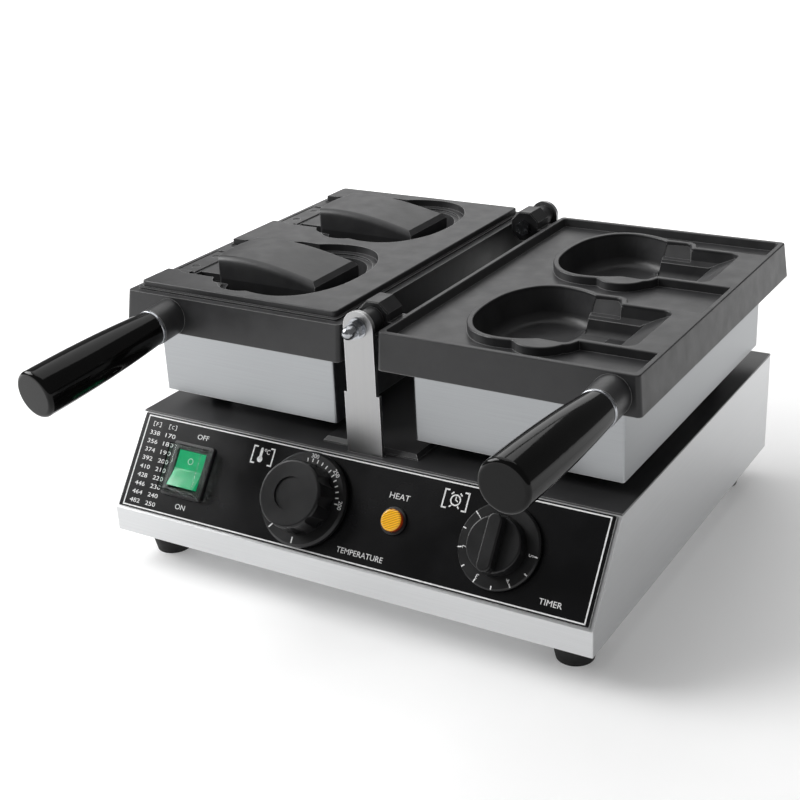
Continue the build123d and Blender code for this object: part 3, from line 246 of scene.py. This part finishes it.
def blackPlastic(name, tone, rough, grainSize=1.0, grainDepth=0.03, gloss=0.5):
    # moulded black plastic: even colour, spark-eroded grain where it is satin, tiny scuffs in the gloss.
    # The grain's size and depth are in millimetres.
    material, tree, coords = newMaterial(name)
    grain = addNode(tree, "TexNoise", {"Scale": 1000.0 / grainSize, "Detail": 2.0}, {"Vector": coords})
    scuff = addNode(tree, "TexNoise", {"Scale": 60.0, "Detail": 5.0, "Roughness": 0.65}, {"Vector": coords})
    relief = {"Distance": grainDepth * mm, "Strength": 0.3}
    return surfaced(material, {"Specular IOR Level": gloss}, {
        "Base Color": addNode(tree, "ValToRGB", {"stops": [(0.3, tone[0]), (0.7, tone[1])]}, {"Fac": scuff}),
        "Roughness": addNode(tree, "MapRange", {"range": (0.3, 0.7, *rough)}, {"Value": scuff}),
        "Normal": addNode(tree, "Bump", relief, {"Height": grain}),
    })


def mouldedRubber():
    # nitrile rubber feet: dull black, fine dust in the pores
    material, tree, coords = newMaterial("mouldedRubber")
    pores = addNode(tree, "TexVoronoi", {"Scale": 1500.0}, {"Vector": coords})
    dust = addNode(tree, "TexNoise", {"Scale": 120.0, "Detail": 4.0}, {"Vector": coords})
    return surfaced(material, {"Roughness": 0.75}, {
        "Base Color": addNode(tree, "ValToRGB", {"stops": [(0.35, "#101010"), (0.75, "#1D1D1D")]},
                              {"Fac": dust}),
        "Normal": addNode(tree, "Bump", {"Distance": 0.05 * mm, "Strength": 0.3}, {"Height": pores}),
    })


lensGloss = {
    "Roughness": 0.12,
    "Transmission Weight": 0.25,
    "Coat Weight": 0.6,
    "Coat Roughness": 0.05,
    "Emission Strength": 0.35,
}


def greenLens():
    # translucent moulded polycarbonate: saturated, glossy, deeper colour in the thick parts
    material, tree, coords = newMaterial("greenPolycarbonate")
    depth = addNode(tree, "TexNoise", {"Scale": 90.0, "Detail": 2.0}, {"Vector": coords})
    return surfaced(material, {**lensGloss, "Emission Color": linearColour("#23C98A")}, {
        "Base Color": addNode(tree, "ValToRGB", {"stops": [(0.3, "#007A48"), (0.7, "#0F9A62")]},
                              {"Fac": depth}),
        "Normal": addNode(tree, "Bump", {"Distance": 0.05 * mm, "Strength": 0.3}, {"Height": depth}),
    })


def amberLens(ribPitch=0.85 * mm):
    # the same plastic in amber: fine level ribs across its face, and a painted deep red shade round its side
    material, tree, coords = newMaterial("amberPolycarbonate")
    ribs = addNode(tree, "TexWave", {
        "wave_type": "BANDS", "bands_direction": "Z", "Scale": math.pi / 10 / ribPitch,
    }, {"Vector": coords}, "Fac")
    # painted shade and light on the ribs: darker amber in each groove, brighter on each crest
    face = addNode(tree, "ValToRGB", {"stops": [(0.1, "#A86408"), (0.6, "#FFC21E")]}, {"Fac": ribs})
    # painted shade: faces turned away from the panel's front go deep red
    facing = addNode(tree, "TexCoord", output="Normal")
    turned = addNode(tree, "VectorMath", {"operation": "DOT_PRODUCT", 1: panelOut}, {0: facing}, "Value")
    front = addNode(tree, "MapRange", {"range": (0.25, 0.6, 0.0, 1.0)}, {"Value": turned})
    colour = addNode(tree, "Mix", {"data_type": "RGBA", 6: linearColour("#8C2A08")}, {0: front, 7: face}, 2)
    return surfaced(material, lensGloss, {
        "Base Color": colour,
        "Emission Color": colour,
        "Normal": addNode(tree, "Bump", {"Distance": 0.2 * mm, "Strength": 0.6}, {"Height": ribs}),
    })


def clearCover():
    # clear soft vinyl splash cover: see-through with bright edges, faintly wavy
    material, tree, coords = newMaterial("clearVinyl")
    wave = addNode(tree, "TexNoise", {"Scale": 110.0, "Detail": 1.0}, {"Vector": coords})
    clear = {"Base Color": linearColour("#F4FAF7"), "Transmission Weight": 1.0, "IOR": 1.2}
    return surfaced(material, clear, {
        "Roughness": addNode(tree, "MapRange", {"range": (0.3, 0.7, 0.02, 0.08)}, {"Value": wave}),
        "Normal": addNode(tree, "Bump", {"Distance": 0.2 * mm, "Strength": 0.2}, {"Height": wave}),
    })


def heatStainedTube():
    # sheathed heating tube: alloy steel browned by heat
    material, tree, coords = newMaterial("heatStainedSteel")
    stain = addNode(tree, "TexNoise", {"Scale": 60.0, "Detail": 5.0}, {"Vector": coords})
    return surfaced(material, {"Metallic": 1.0}, {
        "Base Color": addNode(tree, "ValToRGB", {"stops": [(0.3, "#4A423B"), (0.7, "#7B746D")]},
                              {"Fac": stain}),
        "Roughness": addNode(tree, "MapRange", {"range": (0.3, 0.7, 0.4, 0.6)}, {"Value": stain}),
        "Normal": addNode(tree, "Bump", {"Distance": 0.05 * mm, "Strength": 0.3}, {"Height": stain}),
    })


finishes = {
    "stainless_steel": brushedStainless("brushedStainlessSheet"),
    "strap_steel": brushedStainless("brushedStainlessBar", "upright", ("#A2A2A3", "#A6A6A6"), (0.34, 0.38),
                                    groove=0.1),
    "zinc_steel": brightZinc(),
    "non_stick_cast": nonStickCasting(),
    "black_deck": satinBlackDeck(),
    "printed_panel": glossPanel(),
    "black_steel": nonStickCasting("blackenedSteel", ("#1C1C1D", "#282829"), (0.3, 0.42)),
    "black_rubber": mouldedRubber(),
    "bakelite": blackPlastic("glossBakelite", ("#050505", "#090909"), (0.06, 0.12), 2.0, 0.01, 0.2),
    "black_plastic": blackPlastic("mouldedNylon", ("#0E0E0F", "#151516"), (0.35, 0.45)),
    "knob_plastic": blackPlastic("mouldedPhenolic", ("#0F0F10", "#161617"), (0.28, 0.38), gloss=0.35),
    "green_lens": greenLens(),
    "clear_cover": clearCover(),
    "amber_lens": amberLens(),
    "element_steel": heatStainedTube(),
    "thermostat_shell": brushedStainless("pressedSteelCase", "level", ("#8E8E8E", "#A5A5A5"), (0.4, 0.5)),
}
for node in nodes.values():
    for slotIndex, slot in enumerate(node.material_slots):
        name = slot.material.name.split(".")[0] if slot.material else ""
        if name in finishes:
            node.data.materials[slotIndex] = finishes[name]
# painted shade: a darker copy of the brushed stainless, dimming both heater boxes as a whole
shadedBoxSteel = brushedStainless("shadedBoxStainless", "level", ("#999B9D", "#9FA1A3"), (0.30, 0.38))
for side in ("left", "right"):
    nodes[side + "_heater_box"].data.materials[0] = shadedBoxSteel
ink = whiteInk()
print("finishes given to", len(nodes), "nodes")


# Printing: flat marks in millimetres, across and up a surface

def flatBar(x, s, length, width, angle=0):
    turned = (0, 0, math.radians(angle))
    bpy.ops.mesh.primitive_plane_add(size=1, location=(x * mm, s * mm, 0), rotation=turned)
    bar = bpy.context.active_object
    bar.scale = (length * mm, width * mm, 1)
    bpy.ops.object.transform_apply(location=True, rotation=True, scale=True)
    return bar


def flatDisc(x, s, radius, sides=48):
    bpy.ops.mesh.primitive_circle_add(vertices=sides, radius=radius * mm, fill_type="NGON",
                                      location=(x * mm, s * mm, 0))
    bpy.ops.object.transform_apply(location=True, rotation=True, scale=True)
    return bpy.context.active_object


def flatRing(x, s, radius, width, sides=48):
    # a disc, inset once, with its middle taken out
    ring = flatDisc(x, s, radius, sides)
    bpy.ops.object.mode_set(mode="EDIT")
    bpy.ops.mesh.select_all(action="SELECT")
    bpy.ops.mesh.inset(thickness=width * mm)
    bpy.ops.mesh.delete(type="FACE")
    bpy.ops.object.mode_set(mode="OBJECT")
    return ring


def flatWords(words, x, s, height, length=0, angle=0):
    # a word of a given height, and of a given length unless that is 0, its middle on x and s
    bpy.ops.object.text_add()
    text = bpy.context.active_object
    text.data.body = words
    text.data.resolution_u = 3
    bpy.ops.object.convert(target="MESH")
    text = bpy.context.active_object
    xs = [v.co.x for v in text.data.vertices]
    ys = [v.co.y for v in text.data.vertices]
    middle = Matrix.Translation((-(min(xs) + max(xs)) / 2, -(min(ys) + max(ys)) / 2, 0))
    tall = height * mm / (max(ys) - min(ys))
    wide = length * mm / (max(xs) - min(xs)) if length else tall
    size = Matrix.Diagonal((wide, tall, 1, 1))
    place = Matrix.Translation((x * mm, s * mm, 0)) @ Matrix.Rotation(math.radians(angle), 4, "Z")
    text.data.transform(place @ size @ middle)
    return text


def brackets(x, s, width, height, arm, line):
    marks = []
    for way in (-1, 1):
        marks.append(flatBar(x + way * width / 2, s, line, height))
        for top in (-1, 1):
            marks.append(flatBar(x + way * (width - arm) / 2, s + top * (height - line) / 2, arm, line))
    return marks


def printPiece(name, marks, base, body):
    # joins flat marks, gives them the ink's thickness and lays them on a surface
    pick(*marks)
    bpy.ops.object.join()
    piece = bpy.context.active_object
    piece.name = name
    wall = piece.modifiers.new("ink", "SOLIDIFY")
    wall.thickness = panel["inkThickness"] * mm
    wall.offset = 1
    bpy.ops.object.modifier_apply(modifier="ink")
    piece.data.transform(base @ Matrix.Translation((0, 0, panel["inkLift"] * mm)))
    piece.data.materials.clear()
    piece.data.materials.append(ink)
    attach(piece, body)


# Panel print: border, words, a table of the two temperature scales and two signs

panelPrint = {
    "border": (-173.6, 174.2, 3.4, 67.4),         # left, right, low, high
    "borderLine": 0.9,
    "words": [
        # words, middle across, middle up the slope, height, length
        ("OFF", -124.0, 60.0, 3.4, 9.6),
        ("ON", -126.2, 10.3, 3.6, 8.2),
        ("HEAT", 35.3, 51.2, 3.7, 14.6),
        ("TEMPERATURE", 18.2, 9.7, 3.6, 34.2),
        ("TIMER", 150.7, 10.1, 3.6, 15.0),
    ],
}
scaleTable = {
    # letter at the head, middle across, first row, step from row to row
    "columns": [("F", -165.0, 338, 18), ("C", -151.3, 170, 10)],
    "rows": 9,
    "top": 56.1,
    "pitch": 6.07,
    "digits": (3.0, 8.6),                  # height, length
    "headUp": 62.3,
    "head": (2.4, 1.9),
    "headBrackets": (6.2, 3.6, 1.2, 0.45),        # width, height, arm, line
}
thermometer = {
    "middle": (-73.1, 57.1),
    "brackets": (16.4, 12.4, 3.0, 1.0),
    # from here on, places are from the middle
    "discs": [(-1.6, -2.6, 2.1), (-1.6, 4.3, 1.0)],        # bulb and rounded top: across, up, radius
    "stem": (-1.6, 1.2, 2.0, 6.4),                # across, up, length, width
    "degree": (1.3, 4.1, 0.9, 0.35, 24),          # across, up, radius, line, sides
    "letter": (3.7, 3.1, 3.2, 2.6),               # across, up, height, length
}
alarmClock = {
    "middle": (73.4, 56.9),
    "brackets": (16.6, 12.4, 3.0, 1.0),
    "face": (3.7, 0.9),                           # radius, line
    "hands": [(0, 1.1, 0.7, 2.4, 0), (0.9, -0.3, 2.0, 0.7, -30)],        # across, up, length, width, angle
    "bell": (3.0, 4.0, 2.2, 0.9, -45),            # the right one, and its mirror image on the left
    "foot": (2.8, -4.2, 1.8, 0.9, -45),
}


def borderAndWords():
    left, right, low, high = panelPrint["border"]
    line = panelPrint["borderLine"]
    marks = [flatBar((left + right) / 2, s, right - left + line, line) for s in (low, high)]
    marks += [flatBar(x, (low + high) / 2, line, high - low) for x in (left, right)]
    return marks + [flatWords(*word) for word in panelPrint["words"]]


def scaleMarks():
    marks = []
    for letter, x, first, step in scaleTable["columns"]:
        marks.append(flatWords(letter, x, scaleTable["headUp"], *scaleTable["head"]))
        marks += brackets(x, scaleTable["headUp"], *scaleTable["headBrackets"])
        for row in range(scaleTable["rows"]):
            s = scaleTable["top"] - row * scaleTable["pitch"]
            marks.append(flatWords(str(first + row * step), x, s, *scaleTable["digits"]))
    return marks


def thermometerMarks():
    x, s = thermometer["middle"]
    marks = brackets(x, s, *thermometer["brackets"])
    marks += [flatDisc(x + dx, s + ds, radius) for dx, ds, radius in thermometer["discs"]]
    dx, ds, *stem = thermometer["stem"]
    marks.append(flatBar(x + dx, s + ds, *stem))
    dx, ds, *degree = thermometer["degree"]
    marks.append(flatRing(x + dx, s + ds, *degree))
    dx, ds, *letter = thermometer["letter"]
    marks.append(flatWords("C", x + dx, s + ds, *letter))
    return marks


def alarmClockMarks():
    x, s = alarmClock["middle"]
    marks = brackets(x, s, *alarmClock["brackets"])
    marks.append(flatRing(x, s, *alarmClock["face"]))
    marks += [flatBar(x + dx, s + ds, *hand) for dx, ds, *hand in alarmClock["hands"]]
    for part in ("bell", "foot"):
        dx, ds, length, width, angle = alarmClock[part]
        marks += [flatBar(x + way * dx, s + ds, length, width, way * angle) for way in (-1, 1)]
    return marks


deselectAll()
panelTop = panelFrame @ Matrix.Translation((0, 0, panel["sheet"] * mm))
panelMarks = borderAndWords() + scaleMarks() + thermometerMarks() + alarmClockMarks()
printPiece("panel_print", panelMarks, panelTop, "base")
print("panel printed")


# Rocker: the ring for off, on its upper face

rocker = {
    "pivotOut": 0.2,       # pivot above the slope
    "tilt": -9.0,
    "faceUp": 6.3,         # middle of the ring, up from the pivot and out of it
    "faceOut": 2.47,
    "faceTilt": 9.6,
    "ring": (2.2, 0.45),        # radius, line
}


def turnAboutX(degrees):
    return Matrix.Rotation(math.radians(degrees), 4, "X")


deselectAll()
rockerPivot = (middleAcross("switch_rocker"), panel["controlsUp"] * mm, rocker["pivotOut"] * mm)
ringFromPivot = Matrix.Translation((0, rocker["faceUp"] * mm, rocker["faceOut"] * mm))
rockerFrame = panelFrame @ Matrix.Translation(rockerPivot) @ turnAboutX(rocker["tilt"])
rockerFace = rockerFrame @ ringFromPivot @ turnAboutX(rocker["faceTilt"])
printPiece("rocker_print", [flatRing(0, 0, *rocker["ring"])], rockerFace, "rocker")
print("rocker marked")


# Dials: ticks and numbers on the skirts, which turn with the knobs. Angles run against the clock.

knobGap = 2.0            # printed sheet and running gap under a knob
timerDial = {
    "skirt": 3.0,
    "zeroAngle": 84.0,
    "numberStep": 54.6,          # angle from one number to the next
    "lastNumber": 5,
    "tickRing": 25.3,
    "longTick": (2.6, 0.8),      # length, width
    "shortTick": (2.2, 0.8),
    "numberRing": 22.2,
    "numberHeight": 3.1,
}
temperatureDial = {
    "skirt": 4.5,
    "firstTick": 98.6,
    "tickStep": -8.7,
    "tickCount": 12,
    "tickRing": 25.6,
    "tick": (2.4, 0.75),
    "numbers": [(300, 88.0), (250, 46.0), (200, 2.0)],        # number, angle
    "numberRing": 28.6,
    "numberHeight": 2.8,
    "stops": (231.0, 272.0),     # angles of the two long marks
    "stopRing": 27.6,
    "stopMark": (4.2, 0.9),
}


def onRing(radius, angle):
    reach = math.radians(angle)
    return radius * math.cos(reach), radius * math.sin(reach)


def ringTick(radius, angle, size):
    return flatBar(*onRing(radius, angle), *size, angle)


def ringNumber(radius, angle, number, height):
    return flatWords(str(number), *onRing(radius, angle), height, angle=angle - 90)


def timerMarks():
    dial = timerDial
    marks = []
    for half in range(2 * dial["lastNumber"] + 1):
        angle = dial["zeroAngle"] + half * dial["numberStep"] / 2
        if half % 2:
            marks.append(ringTick(dial["tickRing"], angle, dial["shortTick"]))
        else:
            marks.append(ringTick(dial["tickRing"], angle, dial["longTick"]))
            marks.append(ringNumber(dial["numberRing"], angle, half // 2, dial["numberHeight"]))
    return marks


def temperatureMarks():
    dial = temperatureDial
    angles = [dial["firstTick"] + part * dial["tickStep"] for part in range(dial["tickCount"])]
    marks = [ringTick(dial["tickRing"], angle, dial["tick"]) for angle in angles]
    marks += [ringNumber(dial["numberRing"], angle, number, dial["numberHeight"])
              for number, angle in dial["numbers"]]
    marks += [ringTick(dial["stopRing"], angle, dial["stopMark"]) for angle in dial["stops"]]
    return marks


def printDial(name, dial, marks):
    skirtTop = (knobGap + dial["skirt"]) * mm
    place = Matrix.Translation((middleAcross(name + "_knob"), panel["controlsUp"] * mm, skirtTop))
    printPiece(name + "_dial_print", marks, panelFrame @ place, name + "_dial")


deselectAll()
printDial("timer", timerDial, timerMarks())
printDial("temperature", temperatureDial, temperatureMarks())
print("dials marked")


# Floor, backdrop and soft studio light

studio = {
    "floor": ("#F1F1F1", "#F4F4F4"),
    "floorSize": 12.0,
    "glow": (0.42, 1.2, 0.19, 0.8),        # the floor is lit from below, more so away from the machine
    "sky": "#FFFFFF",
    "skyStrength": 0.20,
    # name, place, aim, size across, size up, watts
    "softboxes": [
        ("overheadSoftbox", (-0.7, 0.8, 2.4), (0, 0.2, 0.1), 3.0, 2.4, 34),
        ("leftSoftbox", (-2.1, -0.6, 1.5), (-0.1, -0.1, 0.1), 1.8, 1.4, 75),
        ("backSoftbox", (-1.1, 2.4, 1.2), (0, 0.1, 0.15), 1.8, 1.1, 8),
    ],
}


def paleFloor():
    # painted studio floor: matt, nearly white, and faintly uneven
    material, tree, coords = newMaterial("paleStudioFloor")
    dull, pale = studio["floor"]
    speckle = addNode(tree, "TexNoise", {"Scale": 40.0, "Detail": 3.0}, {"Vector": coords})
    away = addNode(tree, "VectorMath", {"operation": "LENGTH"}, {0: coords}, "Value")
    return surfaced(material, {"Roughness": 0.8, "Emission Color": linearColour(pale)}, {
        "Base Color": addNode(tree, "ValToRGB", {"stops": [(0.2, dull), (0.8, pale)]}, {"Fac": speckle}),
        "Emission Strength": addNode(tree, "MapRange", {"range": studio["glow"]}, {"Value": away}),
    })


bpy.ops.mesh.primitive_plane_add(size=studio["floorSize"], location=(0, 0, 0))
floor = bpy.context.active_object
floor.name = "floor"
floor.data.materials.append(paleFloor())

world = bpy.data.worlds.new("studioSky")
bpy.context.scene.world = world
world.use_nodes = True
sky = world.node_tree.nodes["Background"]
sky.inputs["Color"].default_value = linearColour(studio["sky"])
sky.inputs["Strength"].default_value = studio["skyStrength"]

for name, place, aim, across, high, watts in studio["softboxes"]:
    lamp = bpy.data.lights.new(name, "AREA")
    lamp.shape = "RECTANGLE"
    lamp.size = across
    lamp.size_y = high
    lamp.energy = watts
    softbox = bpy.data.objects.new(name, lamp)
    softbox.location = place
    softbox.rotation_euler = (Vector(aim) - Vector(place)).to_track_quat("-Z", "Y").to_euler()
    bpy.context.scene.collection.objects.link(softbox)
bpy.context.scene.view_settings.view_transform = "Standard"
print("studio lit")
